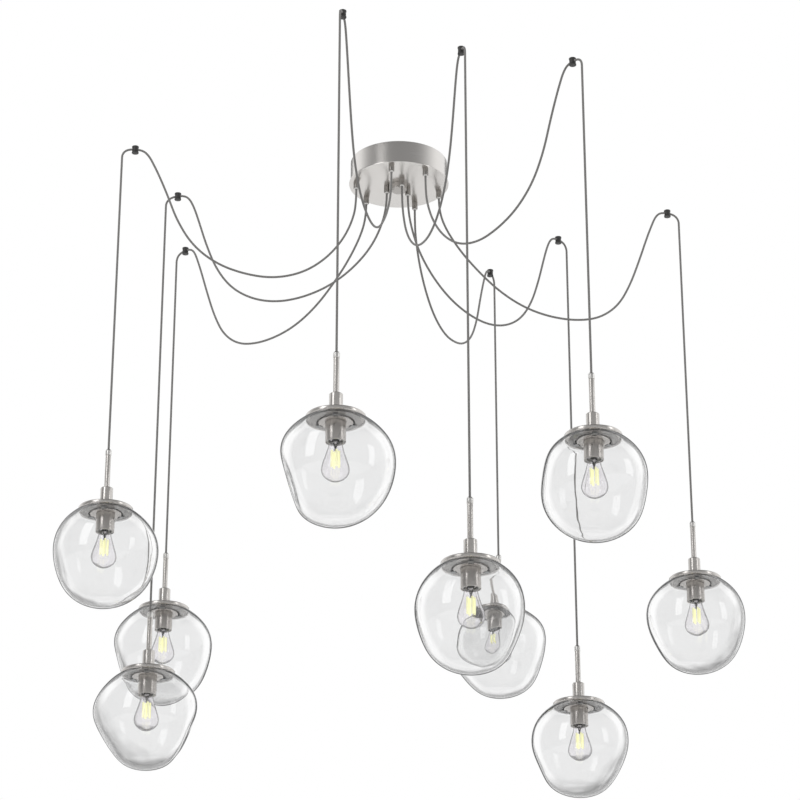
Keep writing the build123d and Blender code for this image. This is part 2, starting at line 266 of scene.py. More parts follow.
def named_tree(name, *sockets):
    """A Geometry Nodes tree with its input node and output node, and the named inputs."""
    tree = bpy.data.node_groups.new(name, "GeometryNodeTree")
    tree.interface.new_socket("Geometry", in_out="INPUT", socket_type="NodeSocketGeometry")
    tree.interface.new_socket("Geometry", in_out="OUTPUT", socket_type="NodeSocketGeometry")
    for socket, kind in sockets:
        tree.interface.new_socket(socket, in_out="INPUT", socket_type=f"NodeSocket{kind}")
    given = tree.nodes.new("NodeGroupInput").outputs
    return tree, given, tree.nodes.new("NodeGroupOutput")


def shaped_by(obj, tree, **values):
    """Runs the tree on the object, and returns the plain mesh that comes out."""
    modifier = obj.modifiers.new(tree.name, "NODES")
    modifier.node_group = tree
    for item in tree.interface.items_tree:
        if item.in_out == "INPUT" and item.name.replace(" ", "_") in values:
            modifier[item.identifier] = values[item.name.replace(" ", "_")]
    mesh = plain_mesh(obj)
    obj.modifiers.clear()
    bpy.data.objects.remove(obj)
    return mesh


cord_step = 5
cord_sides = 16
cord_tree, given, out = named_tree("cord_tube", ("Diameter", "Float"), ("Step", "Float"),
                                   ("Sides", "Int"), ("Cloth", "Material"))
evened = node(cord_tree, "GeometryNodeResampleCurve", {"mode": "LENGTH"},
              Curve=given["Geometry"], Length=given["Step"]).outputs[0]
radius = maths(cord_tree, "DIVIDE", given["Diameter"], 2.0)
ring = node(cord_tree, "GeometryNodeCurvePrimitiveCircle", Resolution=given["Sides"], Radius=radius)
along = node(cord_tree, "GeometryNodeCaptureAttribute", i0=evened)
along.capture_items.new("FLOAT", "Along")
length_so_far = node(cord_tree, "GeometryNodeSplineParameter").outputs["Length"]
cord_tree.links.new(length_so_far, along.inputs["Along"])
around = node(cord_tree, "GeometryNodeCaptureAttribute", i0=ring.outputs[0])
around.capture_items.new("VECTOR", "Around")
cord_tree.links.new(node(cord_tree, "GeometryNodeInputPosition").outputs[0], around.inputs["Around"])
skin = node(cord_tree, "GeometryNodeCurveToMesh", Curve=along.outputs[0],
            Profile_Curve=around.outputs[0], Fill_Caps=True)
parts = node(cord_tree, "ShaderNodeSeparateXYZ", i0=around.outputs["Around"]).outputs
strand = node(cord_tree, "ShaderNodeCombineXYZ", i0=parts[0], i1=parts[1], i2=along.outputs["Along"])
stored = node(cord_tree, "GeometryNodeStoreNamedAttribute",
              {"data_type": "FLOAT_VECTOR", "domain": "POINT"},
              Geometry=skin.outputs[0], Name="strand", Value=strand.outputs[0])
smooth = node(cord_tree, "GeometryNodeSetShadeSmooth", Geometry=stored.outputs[0])
clothed = node(cord_tree, "GeometryNodeSetMaterial", Geometry=smooth.outputs[0],
               Material=given["Cloth"])
real = node(cord_tree, "GeometryNodeRealizeInstances", Geometry=clothed.outputs[0])
cord_tree.links.new(real.outputs[0], out.inputs[0])

braid_strands = 8
braid_pitch = 11 * mm
cord_cloth, tree, shader = material("grey_braid")
strand = node(tree, "ShaderNodeAttribute", {"attribute_name": "strand"}).outputs["Vector"]
parts = node(tree, "ShaderNodeSeparateXYZ", i0=strand).outputs
angle = maths(tree, "MULTIPLY", maths(tree, "ARCTAN2", parts[1], parts[0]), braid_strands / 2.0)
lay = maths(tree, "MULTIPLY", parts[2], math.pi * braid_strands / 2 / braid_pitch)
one_way = maths(tree, "SINE", maths(tree, "ADD", angle, lay))
other_way = maths(tree, "SINE", maths(tree, "SUBTRACT", angle, lay))
woven = maths(tree, "ABSOLUTE", maths(tree, "MULTIPLY", one_way, other_way))
threads = node(tree, "ShaderNodeTexNoise", Vector=strand, Scale=2600.0, Detail=2.0).outputs["Fac"]
raised = maths(tree, "ADD", maths(tree, "MULTIPLY", woven, 0.8), maths(tree, "MULTIPLY", threads, 0.3))
# Painted shade: the braid is coloured darker in the hollows between strands and lighter on the raised
# strands, besides the threads' own tone.
shade = node(tree, "ShaderNodeValToRGB", Fac=raised)
shade.color_ramp.elements[0].position = 0.05
shade.color_ramp.elements[0].color = (0.115, 0.112, 0.108, 1)
shade.color_ramp.elements[1].position = 0.85
shade.color_ramp.elements[1].color = (0.30, 0.292, 0.283, 1)
tree.links.new(shade.outputs[0], shader.inputs["Base Color"])
relief = node(tree, "ShaderNodeBump", Height=raised, Strength=0.6, Distance=0.35 * mm)
tree.links.new(relief.outputs[0], shader.inputs["Normal"])
shader.inputs["Roughness"].default_value = 0.72
shader.inputs["Sheen Weight"].default_value = 0.15

Pendant = namedtuple("Pendant", "number body hinge plumb outward cap_height")
pendants = []
for joint in frame["joints"]:
    number = joint["child"].split("_")[1]
    hinge = Vector(joint["pos_m"])
    plumb = round(math.hypot(hinge.x, hinge.y) / mm)
    outward = Vector((hinge.x, hinge.y, 0)).normalized()
    cap_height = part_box(f"stem_{number}")[0].z
    pendants.append(Pendant(number, joint["child"], hinge, plumb, outward, cap_height))

blend_start = -33
for number, body, hinge, plumb, outward, cap_height in pendants:
    port, route = routes[plumb]
    hole = plumb - holder_setback
    points = [(port, gland_end), (port, gland_end - first_run)] + route
    points += [(hole - hole_approach, -approach_depth), (hole - hole_straight, -cord_hole_depth)]
    points += [(hole + hole_straight, -cord_hole_depth), (plumb, -leaving_depth), (plumb, -hinge_depth)]
    points += [(plumb, cap_height / mm + rod_top + cord_grip)]
    line = bpy.data.curves.new(f"cord_line_{number}", "CURVE")
    line.dimensions = "3D"
    line.resolution_u = 10
    spline = line.splines.new("NURBS")
    spline.points.add(len(points) - 1)
    for spot, (out_by, height) in zip(spline.points, points):
        spot.co = (*(outward * out_by * mm).xy, height * mm, 1)
    spline.order_u = 3
    spline.use_endpoint_u = True
    cord_line = bpy.data.objects.new(f"cord_line_{number}", line)
    bpy.context.scene.collection.objects.link(cord_line)
    path = [vertex.co.copy() for vertex in plain_mesh(cord_line).vertices]
    mesh = shaped_by(cord_line, cord_tree, Diameter=cord_diameter, Step=cord_step * mm,
                     Sides=cord_sides, Cloth=cord_cloth)
    cord = piece(f"cord_{number}", mesh, None, "cord_fabric",
                 f"cord_swag_{number}", f"cord_drop_{number}")
    start = Vector((hinge.x, hinge.y, blend_start * mm))
    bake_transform(cord)


# Canopy cover: a shallow drum spun from steel sheet and plated in brushed nickel, with a rolled
# lip round its lower edge. It closes over the outlet box and is held by the nut at its centre.
drum_radius = 110
drum_depth = 54
sheet = 1.6
lip_radius = 113
lip_thickness = 2.6
on_axis = 0.001
sharp_angle = math.radians(50)


def rounded(profile, radius):
    """The closed profile with each corner off the axis replaced by a small arc."""
    spots = []
    for place, (here_r, here_z) in enumerate(profile):
        here = Vector((here_r, here_z))
        before = Vector(profile[place - 1]) - here
        after = Vector(profile[(place + 1) % len(profile)]) - here
        cut = min(radius, 0.4 * before.length, 0.4 * after.length)
        if here_r < on_axis or cut < 0.02:
            spots.append(here)
            continue
        first = here + before.normalized() * cut
        last = here + after.normalized() * cut
        spots += [first, here * 0.5 + (first + last) * 0.25, last]
    return spots


def turned(name, profiles, finish, sides, edge=0.5):
    """A mesh turned about the vertical axis from closed (radius, height) profiles in
    millimetres. Its UV map runs round the piece and along the profile, in metres."""
    shape = bmesh.new()
    uv = shape.loops.layers.uv.new("turned")
    for profile in profiles:
        spots = rounded(profile, edge)
        rings = []
        for spot in spots:
            count = 1 if spot.x < on_axis else sides
            turns = [2 * math.pi * side / sides for side in range(count)]
            ring = [(spot.x * mm * math.cos(turn), spot.x * mm * math.sin(turn), spot.y * mm)
                    for turn in turns]
            rings.append([shape.verts.new(place) for place in ring])
        along = 0
        for place, spot in enumerate(spots):
            ring, following = rings[place], rings[(place + 1) % len(rings)]
            run = (spots[(place + 1) % len(spots)] - spot).length * mm
            if len(ring) > 1 or len(following) > 1:
                for side in range(sides):
                    next_side = (side + 1) % sides
                    corners = [(ring[side % len(ring)], side, along)]
                    if len(ring) > 1:
                        corners.append((ring[next_side], side + 1, along))
                    corners.append((following[next_side % len(following)], side + 1, along + run))
                    if len(following) > 1:
                        corners.append((following[side], side, along + run))
                    face = shape.faces.new([vertex for vertex, turn, far in corners])
                    face.smooth = True
                    for loop, (vertex, turn, far) in zip(face.loops, corners):
                        loop[uv].uv = (turn / sides, far)
            along += run
    bmesh.ops.recalc_face_normals(shape, faces=shape.faces)
    mesh = bpy.data.meshes.new(name)
    shape.to_mesh(mesh)
    shape.free()
    mesh.set_sharp_from_angle(angle=sharp_angle)
    mesh.materials.append(finish)
    return mesh


brushing, given, out = shared_effect(
    "turned_brushing", [("UV", "Vector"), ("Lines", "Float"), ("Round", "Float")],
    [("Brushed", "Float"), ("Patches", "Float")])
parts = node(brushing, "ShaderNodeSeparateXYZ", i0=given["UV"]).outputs
turn = maths(brushing, "MULTIPLY", parts[0], 2 * math.pi)
east = maths(brushing, "MULTIPLY", maths(brushing, "COSINE", turn), given["Round"])
north = maths(brushing, "MULTIPLY", maths(brushing, "SINE", turn), given["Round"])
across = maths(brushing, "MULTIPLY", parts[1], given["Lines"])
wrapped = node(brushing, "ShaderNodeCombineXYZ", i0=east, i1=north, i2=across).outputs[0]
lines = node(brushing, "ShaderNodeTexNoise", Vector=wrapped, Scale=1.0, Detail=4.0, Roughness=0.7)
broad = maths(brushing, "MULTIPLY", parts[1], 40.0)
broad = node(brushing, "ShaderNodeCombineXYZ", i0=east, i1=north, i2=broad).outputs[0]
patches = node(brushing, "ShaderNodeTexNoise", Vector=broad, Scale=0.8, Detail=2.0)
brushing.links.new(lines.outputs["Fac"], out["Brushed"])
brushing.links.new(patches.outputs["Fac"], out["Patches"])


def nickel(name, dark, light, roughness, lines=5200.0):
    """Brushed nickel plate: fine turned lines, and small changes of tone and gloss."""
    made, tree, shader = material(name)
    uv = node(tree, "ShaderNodeUVMap", {"uv_map": "turned"}).outputs[0]
    brush = node(tree, "ShaderNodeGroup", {"node_tree": brushing}, UV=uv, Lines=lines, Round=1.6)
    tone = maths(tree, "ADD", maths(tree, "MULTIPLY", brush.outputs["Brushed"], 0.45),
                 maths(tree, "MULTIPLY", brush.outputs["Patches"], 0.55))
    tree.links.new(mixed(tree, tone, (*dark, 1), (*light, 1)), shader.inputs["Base Color"])
    gloss = node(tree, "ShaderNodeMapRange", Value=tone, From_Min=0.3, From_Max=0.7,
                 To_Min=roughness - 0.04, To_Max=roughness + 0.06)
    tree.links.new(gloss.outputs[0], shader.inputs["Roughness"])
    relief = node(tree, "ShaderNodeBump", Height=brush.outputs["Brushed"], Strength=0.12,
                  Distance=0.05 * mm)
    tree.links.new(relief.outputs[0], shader.inputs["Normal"])
    shader.inputs["Metallic"].default_value = 1.0
    return made


canopy_nickel = nickel("canopy_nickel", (0.70, 0.675, 0.65), (0.81, 0.79, 0.765), 0.22)
mesh = turned("canopy_cover", [[
    (drum_radius - sheet, 0), (drum_radius, 0), (drum_radius, lip_thickness - drum_depth),
    (lip_radius, lip_thickness - drum_depth), (lip_radius, -drum_depth), (0, -drum_depth),
    (0, sheet - drum_depth), (drum_radius - sheet, sheet - drum_depth),
]], canopy_nickel, sides=160, edge=0.8)
piece("canopy_cover_spun", mesh, "root", "brushed_nickel", "canopy_cover")


# Cap nut: a turned nut with a soft edge round its foot, plated in brushed nickel. It screws onto
# the bracket's stud and holds the canopy up.
nut_radius = 18
nut_height = 16
nut_edge = 2.5
joint_gap = 0.05
# Painted shade: the cap nut's nickel is a darker copy of the canopy's nickel.
fitting_nickel = nickel("fitting_nickel", (0.42, 0.40, 0.38), (0.52, 0.50, 0.48), 0.26)
mesh = turned("cap_nut", [[
    (0, -drum_depth - joint_gap), (nut_radius, -drum_depth - joint_gap),
    (nut_radius, nut_edge - drum_depth - nut_height),
    (nut_radius - nut_edge, -drum_depth - nut_height), (0, -drum_depth - nut_height),
]], fitting_nickel, sides=96, edge=1.2)
piece("cap_nut_turned", mesh, "root", "brushed_nickel", "canopy_cap_nut")


# Bracket and terminal block: zinc-plated steel strip with the threaded stud that carries the
# canopy, and the moulded block where the nine cords join the house wiring.
zinc, tree, shader = material("zinc_plate")
spots = node(tree, "ShaderNodeTexCoord").outputs["Object"]
spangle = node(tree, "ShaderNodeTexVoronoi", Vector=spots, Scale=190.0).outputs["Color"]
tone = node(tree, "ShaderNodeSeparateXYZ", i0=spangle).outputs[0]
colour = mixed(tree, tone, (0.42, 0.43, 0.44, 1), (0.6, 0.6, 0.59, 1))
tree.links.new(colour, shader.inputs["Base Color"])
gloss = node(tree, "ShaderNodeMapRange", Value=tone, To_Min=0.34, To_Max=0.48).outputs[0]
tree.links.new(gloss, shader.inputs["Roughness"])
shader.inputs["Metallic"].default_value = 1.0

moulding, tree, shader = material("block_moulding")
speckle = speckled(tree, shader, 900.0, 2.0, (0.74, 0.74, 0.71), (0.82, 0.82, 0.79))
relief = node(tree, "ShaderNodeBump", Height=speckle, Strength=0.15, Distance=0.1 * mm)
tree.links.new(relief.outputs[0], shader.inputs["Normal"])
shader.inputs["Roughness"].default_value = 0.45


def dress(name, finish):
    """Gives a CAD node that keeps its shape its finish."""
    for slot in frame["nodes"][name].material_slots:
        slot.material = finish


dress("ceiling_bracket", zinc)
dress("terminal_block", moulding)


# Cord glands: nine turned glands through the canopy, each with a locknut inside and a pale
# bushing at its tip that keeps the cord off the metal.
gland_bore = 1.9
gland_top = -44.4
flange_top = -drum_depth - joint_gap
gland_profile = [(gland_bore, gland_top), (5, gland_top), (5, flange_top), (6.5, flange_top),
                 (6.5, gland_end), (gland_bore, gland_end)]
bushing_profile = [(2.7, gland_end), (4.6, gland_end), (4.6, gland_end - 2.2),
                   (3.8, gland_end - 3), (2.7, gland_end - 3)]
locknut_profile = [(5.05, -52.3), (9, -52.3), (9, -49.4), (5.05, -49.4)]

round_tree, given, out = named_tree("set_out_round", ("Piece", "Object"), ("Finish", "Material"))
found = node(round_tree, "GeometryNodeObjectInfo", Object=given["Piece"]).outputs["Geometry"]
facing = node(round_tree, "GeometryNodeInputNamedAttribute", {"data_type": "FLOAT"}, Name="facing")
turning = node(round_tree, "ShaderNodeCombineXYZ", i2=facing.outputs[0])
copies = node(round_tree, "GeometryNodeInstanceOnPoints", Points=given["Geometry"], Instance=found)
round_tree.links.new(turning.outputs[0], copies.inputs["Rotation"])
real = node(round_tree, "GeometryNodeRealizeInstances", Geometry=copies.outputs[0])
finished = node(round_tree, "GeometryNodeSetMaterial", Geometry=real.outputs[0],
                Material=given["Finish"])
round_tree.links.new(finished.outputs[0], out.inputs[0])


def set_out(name, mesh, places, finish):
    """Copies of the mesh at (distance from the axis in millimetres, direction) places."""
    master = bpy.data.objects.new(f"{name}_master", mesh)
    bpy.context.scene.collection.objects.link(master)
    marks = bpy.data.meshes.new(f"{name}_marks")
    marks.from_pydata([(reach * mm * math.cos(side), reach * mm * math.sin(side), 0)
                       for reach, side in places], [], [])
    facing = marks.attributes.new("facing", "FLOAT", "POINT")
    for mark, (reach, side) in zip(facing.data, places):
        mark.value = side
    holder = bpy.data.objects.new(f"{name}_marks", marks)
    bpy.context.scene.collection.objects.link(holder)
    made = shaped_by(holder, round_tree, Piece=master, Finish=finish)
    bpy.data.objects.remove(master)
    return made


directions = [math.atan2(pendant.outward.y, pendant.outward.x) for pendant in pendants]
ports = [(routes[pendant.plumb][0], side) for pendant, side in zip(pendants, directions)]
# Painted shade: the glands' nickel is a much darker copy of the canopy's nickel.
gland_nickel = nickel("gland_nickel", (0.26, 0.245, 0.23), (0.36, 0.345, 0.33), 0.28)
mesh = set_out("glands", turned("gland", [gland_profile, locknut_profile], gland_nickel, sides=32),
               ports, gland_nickel)
piece("cord_glands_turned", mesh, "root", "brushed_nickel", "cord_glands")
pale_bushing, tree, shader = material("pale_bushing")
speckled(tree, shader, 1400.0, 2.0, (0.74, 0.73, 0.71), (0.86, 0.85, 0.83))
shader.inputs["Roughness"].default_value = 0.35
mesh = set_out("bushings", turned("bushing", [bushing_profile], pale_bushing, sides=32),
               ports, pale_bushing)
piece("cord_gland_bushings", mesh, "root", "block_plastic")


# Swag holders: small waisted barrels, painted satin black, each on a stud in the ceiling. The
# cord runs through each one crosswise.
cord_hole_radius = 2.7
drill_reach = 12
satin_black, tree, shader = material("satin_black")
speckle = speckled(tree, shader, 1100.0, 3.0, (0.022, 0.022, 0.022), (0.05, 0.049, 0.047))
gloss = node(tree, "ShaderNodeMapRange", Value=speckle, To_Min=0.3, To_Max=0.5).outputs[0]
tree.links.new(gloss, shader.inputs["Roughness"])
barrel = turned("holder", [[
    (0, 0), (7.8, 0), (7.8, -2.5), (7, -4.25), (7, -12.25), (7.8, -14), (7.8, -16.5), (0, -16.5),
]], satin_black, sides=48, edge=0.6)
master = bpy.data.objects.new("holder_master", barrel)
drill_profile = [(0, -drill_reach), (cord_hole_radius, -drill_reach), (cord_hole_radius, drill_reach),
                 (0, drill_reach)]
drill = bpy.data.objects.new("drill", turned("drill", [drill_profile], satin_black, sides=32, edge=0))
crosswise = Matrix.Rotation(math.pi / 2, 4, "Y")
drill.data.transform(Matrix.Translation((0, 0, -cord_hole_depth * mm)) @ crosswise)
for each in (master, drill):
    bpy.context.scene.collection.objects.link(each)
cut = master.modifiers.new("cord_hole", "BOOLEAN")
cut.object = drill
cut.solver = "EXACT"
barrel = plain_mesh(master)
bpy.data.objects.remove(master)
bpy.data.objects.remove(drill)
holder_places = [(pendant.plumb - holder_setback, side) for pendant, side in zip(pendants, directions)]
mesh = set_out("holders", barrel, holder_places, satin_black)
piece("swag_holders_turned", mesh, "root", "holder_black", "swag_holders")


# Stems: a domed cap disc, a collar, a tube and a ferrule in brushed nickel, screwed together on
# one threaded nipple. The cord is gripped in the ferrule. Heights are from the cap's underside.
cap_radius = 58
cap_crown = 11
nipple_hole = 5.2
collar_radius = 13.25
collar_top = 52.6
rod_hole = 4.2
rod_radius = 5.8
rod_foot = 40.6
cord_hole = 2.7
ferrule_top = 141.4


def hang(name, mesh, pendant, slot, *nodes):
    """A copy of the mesh, moved to its pendant, as a finished piece that rides on it."""
    copy = mesh.copy()
    copy.transform(Matrix.Translation((pendant.hinge.x, pendant.hinge.y, pendant.cap_height)))
    return piece(f"{name}_{pendant.number}", copy, pendant.body, slot, *nodes)


stem_nickel = nickel("stem_nickel", (0.60, 0.575, 0.55), (0.73, 0.705, 0.68), 0.24)
ferrule_pale = nickel("ferrule_pale", (0.72, 0.71, 0.69), (0.85, 0.84, 0.82), 0.3)
stem_mesh = turned("stem", [
    [(nipple_hole, 0), (cap_radius, 0), (cap_radius, 5.5), (cap_radius - 1.5, 7), (18, cap_crown),
     (nipple_hole, cap_crown)],
    [(nipple_hole, cap_crown + joint_gap), (collar_radius, cap_crown + joint_gap),
     (collar_radius, collar_top - 1), (collar_radius - 1, collar_top), (5.9, collar_top),
     (5.9, cap_crown + joint_gap)],
    [(rod_hole, rod_foot), (rod_radius, rod_foot), (rod_radius, rod_top), (rod_hole, rod_top)],
], stem_nickel, sides=96, edge=0.6)
ferrule_mesh = turned("ferrule", [
    [(cord_hole, rod_top + joint_gap), (6.6, rod_top + joint_gap), (6.6, ferrule_top - 3),
     (4.4, ferrule_top), (cord_hole, ferrule_top)],
], ferrule_pale, sides=48, edge=0.5)
for pendant in pendants:
    hang("stem_turned", stem_mesh, pendant, "brushed_nickel", f"stem_{pendant.number}")
    hang("ferrule", ferrule_mesh, pendant, "brushed_nickel")


# Sockets: a nickel cup under each cap, with a porcelain lamp holder inside. A ring round
# the cup and three tabs carry the glass against a thin foil-faced gasket.
cup_radius = 19.75
cup_inside = 18.55
cup_mouth = -47
cup_floor = -1.5
ring_inside = 20.2
ring_radius = 33.6
ring_foot = -6.8
gasket_inside = 36
gasket_radius = 50
gasket_foot = -1.85
tab_size = (13 * mm, 10 * mm, 1.5 * mm)
tab_middle = -6.05
cup_nickel = nickel("cup_nickel", (0.55, 0.52, 0.495), (0.69, 0.66, 0.63), 0.28)
cup_mesh = turned("cup", [
    [(nipple_hole, -joint_gap), (cup_radius, -joint_gap), (cup_radius, cup_mouth),
     (cup_inside, cup_mouth), (cup_inside, cup_floor), (nipple_hole, cup_floor)],
], cup_nickel, sides=96, edge=0.5)
ring_mesh = turned("retainer", [[
    (ring_inside, -joint_gap), (ring_radius, -joint_gap), (ring_radius, ring_foot),
    (ring_inside, ring_foot),
]], stem_nickel, sides=96, edge=0.6)
gasket_foil = nickel("gasket_foil", (0.50, 0.48, 0.46), (0.62, 0.60, 0.58), 0.36, 1800.0)
gasket_mesh = turned("gasket", [[
    (gasket_inside, -joint_gap), (gasket_radius, -joint_gap), (gasket_radius, gasket_foot),
    (gasket_inside, gasket_foot),
]], gasket_foil, sides=96, edge=0.3)
porcelain, tree, shader = material("glazed_porcelain")
speckled(tree, shader, 300.0, 2.0, (0.78, 0.77, 0.74), (0.86, 0.85, 0.83))
shader.inputs["Roughness"].default_value = 0.22
lamp_holder_mesh = turned("lamp_holder", [[
    (5.1, -3), (12, -3), (12, -9), (18.2, -9), (18.2, -45), (17.3, -46.2), (14.6, -46.2), (13.9, -45),
    (13.9, -14), (5.1, -14),
]], porcelain, sides=96, edge=0.5)
tab = bmesh.new()
bmesh.ops.create_cube(tab, size=1, matrix=Matrix.Diagonal((*tab_size, 1)))
bmesh.ops.bevel(tab, geom=tab.edges, offset=0.35 * mm, segments=2, profile=0.5, affect="EDGES")
tab_mesh = bpy.data.meshes.new("tab")
tab.to_mesh(tab_mesh)
tab.free()
tab_mesh.transform(Matrix.Translation((0, 0, tab_middle * mm)))
tab_places = [(36.5, math.radians(turn)) for turn in (30, 150, 270)]
tab_mesh = set_out("tabs", tab_mesh, tab_places, zinc)
for pendant in pendants:
    hang("socket_cup", cup_mesh, pendant, "socket_nickel", f"socket_{pendant.number}")
    hang("glass_ring", ring_mesh, pendant, "socket_nickel")
    hang("glass_tabs", tab_mesh, pendant, "bracket_steel")
    hang("gasket", gasket_mesh, pendant, "socket_nickel")
    hang("lamp_holder", lamp_holder_mesh, pendant, "block_plastic")


# Bulbs: a clear pear-shaped envelope with a glass stem inside that holds four yellow filaments,
# on a nickel screw base that turns into the lamp holder.
bulb_neck = -43
bulb_wall = 0.8
filament_foot = -64
filament_circle = 7.4
glass_index = 1.45
bulb_glass, tree, shader = material("bulb_clear")
# Painted shade: the glass colour turns dark grey where the envelope is seen edge-on, drawing its outline.
facing = node(tree, "ShaderNodeLayerWeight", Blend=0.3).outputs["Facing"]
tint = node(tree, "ShaderNodeValToRGB", Fac=facing)
tint.color_ramp.elements[0].color = (0.995, 0.985, 0.997, 1)
tint.color_ramp.elements[0].position = 0.36
tint.color_ramp.elements[1].color = (0.10, 0.098, 0.10, 1)
tint.color_ramp.elements[1].position = 0.7
tree.links.new(tint.outputs[0], shader.inputs["Base Color"])
shader.inputs["Transmission Weight"].default_value = 1.0
shader.inputs["Roughness"].default_value = 0.0
shader.inputs["IOR"].default_value = glass_index

bulb_outline = [
    (12.8, bulb_neck), (13.2, -49), (14.2, -56), (16.1, -64), (18.8, -73), (22, -83), (24.6, -91),
    (26.4, -98), (27, -104), (25.9, -110), (22.6, -116), (17.2, -121), (10, -125), (5, -126.6), (0, -127),
]
inside = []
for radius, height in reversed(bulb_outline):
    under_tip = radius < 20 and height < -110
    inside.append((max(radius - bulb_wall, 0), height + (bulb_wall if under_tip else 0)))
envelope_mesh = turned("envelope", [bulb_outline + inside], bulb_glass, sides=64, edge=0)
mount_mesh = turned("mount", [
    [(0, bulb_neck), (7.5, bulb_neck), (4.2, -50), (2.6, -58), (2.2, -64), (0, -65)],
], bulb_glass, sides=32, edge=0.4)
lead_wire, tree, shader = material("lead_wire")
speckled(tree, shader, 800.0, 2.0, (0.08, 0.08, 0.08), (0.16, 0.155, 0.15))
shader.inputs["Metallic"].default_value = 1.0
shader.inputs["Roughness"].default_value = 0.4
lead_mesh = turned("leads", [[(0, -55), (0.9, -55), (0.9, -66), (0, -66)]], lead_wire, sides=16,
                   edge=0.2)
phosphor, tree, shader = material("filament_phosphor")
speckled(tree, shader, 500.0, 2.0, (0.94, 0.94, 0.50), (0.98, 0.98, 0.62),
         sockets=("Base Color", "Emission Color"))
# Painted light: the filaments glow faintly, so that they show bright yellow inside the glass.
shader.inputs["Emission Strength"].default_value = 0.8
shader.inputs["Roughness"].default_value = 0.5
filament = turned("filament", [[
    (0, filament_foot), (2.1, filament_foot), (2.1, -98), (0, -98),
]], phosphor, sides=20, edge=0.6)
filament_places = [(filament_circle, math.radians(turn)) for turn in (20, 110, 200, 290)]
filament_mesh = set_out("filaments", filament, filament_places, phosphor)
base_nickel = nickel("base_nickel", (0.6, 0.59, 0.57), (0.75, 0.74, 0.72), 0.22)
base_mesh = turned("screw_base", [[
    (0, -14.3), (5, -14.3), (9.5, -18), (13.1, -19.5), (13.1, -41), (12, bulb_neck), (0, bulb_neck),
]], base_nickel, sides=64, edge=0.5)
for pendant in pendants:
    hang("bulb_envelope", envelope_mesh, pendant, "bulb_glass", f"bulb_{pendant.number}")
    hang("bulb_mount", mount_mesh, pendant, "bulb_glass")
    hang("bulb_lead", lead_mesh, pendant, "bracket_steel")
    hang("bulb_filaments", filament_mesh, pendant, "bulb_glass")
    hang("bulb_base", base_mesh, pendant, "brushed_nickel")


# Globes: free-blown clear glass, each pushed out of round in its own places while it was hot.
# The crown is flat under the cap, with a hole for the socket and its ring.
globe_diameter = 224
globe_middle = 100
globe_crown = 118
glass_wall = 3
ripple_depth = 0.5
glass_top = 2
glass_hole = 69.2
rise = (globe_middle - glass_top) / math.sin(math.acos(globe_crown / globe_diameter))
# For each globe: how far it reaches below its middle, and its swells and dents. Each of these has
# its side and lift in degrees, its share of the radius (a dent's is negative) and its width.
globes = [
    (114.5, [(172, -32, -0.1, 30), (8, -15, -0.08, 32), (180, 30, 0.05, 26), (90, 0, -0.04, 25)]),
    (110, [(172, -25, -0.115, 28), (15, -30, -0.15, 34), (345, 38, 0.04, 26), (180, 40, 0.03, 25)]),
    (110, [(160, -42, -0.09, 26), (8, -18, -0.11, 32), (350, 38, 0.08, 24)]),
    (122, [(174, -18, -0.13, 24), (8, -15, -0.03, 25), (350, 25, 0.05, 30), (180, 25, 0.05, 25)]),
    (113, [(8, -22, -0.17, 26), (20, -48, -0.08, 20), (165, -36, -0.17, 32), (180, 12, 0.06, 26),
           (350, 30, 0.05, 25)]),
    (114.5, [(330, -30, -0.09, 18), (170, -14, -0.08, 32), (0, 22, 0.05, 28), (60, 10, -0.05, 25)]),
    (117, [(172, -18, -0.24, 28), (188, 35, 0.04, 25), (0, 27, 0.06, 30)]),
    (117, [(8, -28, -0.13, 28), (0, 8, -0.05, 26), (170, -20, -0.06, 28)]),
    (116, [(180, 12, -0.065, 28), (5, -10, -0.09, 28), (300, -25, -0.07, 20), (185, 45, 0.03, 25)]),
]
bottom_share = 0.985
# The direction of the painted white highlight at the bottom of each globe; it also sets where the painted
# dark outline widens.
painted_light_direction = (0, 0.36, -0.93)
no_dent = (0, 0, 0, 30)
dent_places = range(1, 1 + max(len(dents) for depth, dents in globes))

dent_words = ("Side", "Lift", "Amount", "Width")
dent_sockets = [(f"Dent {place} {word}", "Float") for place in dent_places for word in dent_words]
globe_tree, given, out = named_tree(
    "blown_globe", ("Radius", "Float"), ("Rise", "Float"), ("Depth", "Float"), ("Middle", "Float"),
    ("Top", "Float"), ("Wall", "Float"), ("Ripple", "Float"), ("Seed", "Float"),
    ("Glass", "Material"), *dent_sockets)
unit = node(globe_tree, "GeometryNodeInputPosition").outputs[0]
inner = node(globe_tree, "GeometryNodeInputNamedAttribute", {"data_type": "FLOAT"},
             Name="inner").outputs[0]
swell = None
for place in dent_places:
    side, lift, amount, width = (given[f"Dent {place} {word}"] for word in dent_words)
    level = maths(globe_tree, "COSINE", lift)
    pushed_at = node(globe_tree, "ShaderNodeCombineXYZ",
                     i0=maths(globe_tree, "MULTIPLY", level, maths(globe_tree, "COSINE", side)),
                     i1=maths(globe_tree, "MULTIPLY", level, maths(globe_tree, "SINE", side)),
                     i2=maths(globe_tree, "SINE", lift)).outputs[0]
    nearness = node(globe_tree, "ShaderNodeVectorMath", {"operation": "DOT_PRODUCT"}, i0=unit,
                    i1=pushed_at).outputs["Value"]
    nearness = maths(globe_tree, "MINIMUM", maths(globe_tree, "MAXIMUM", nearness, -1.0), 1.0)
    share = maths(globe_tree, "DIVIDE", maths(globe_tree, "ARCCOSINE", nearness), width)
    squared = maths(globe_tree, "MULTIPLY", share, share)
    fall = maths(globe_tree, "EXPONENT", maths(globe_tree, "MULTIPLY", squared, -1.0))
    pushed = maths(globe_tree, "MULTIPLY", amount, fall)
    swell = maths(globe_tree, "ADD", pushed, 1.0 if swell is None else swell)
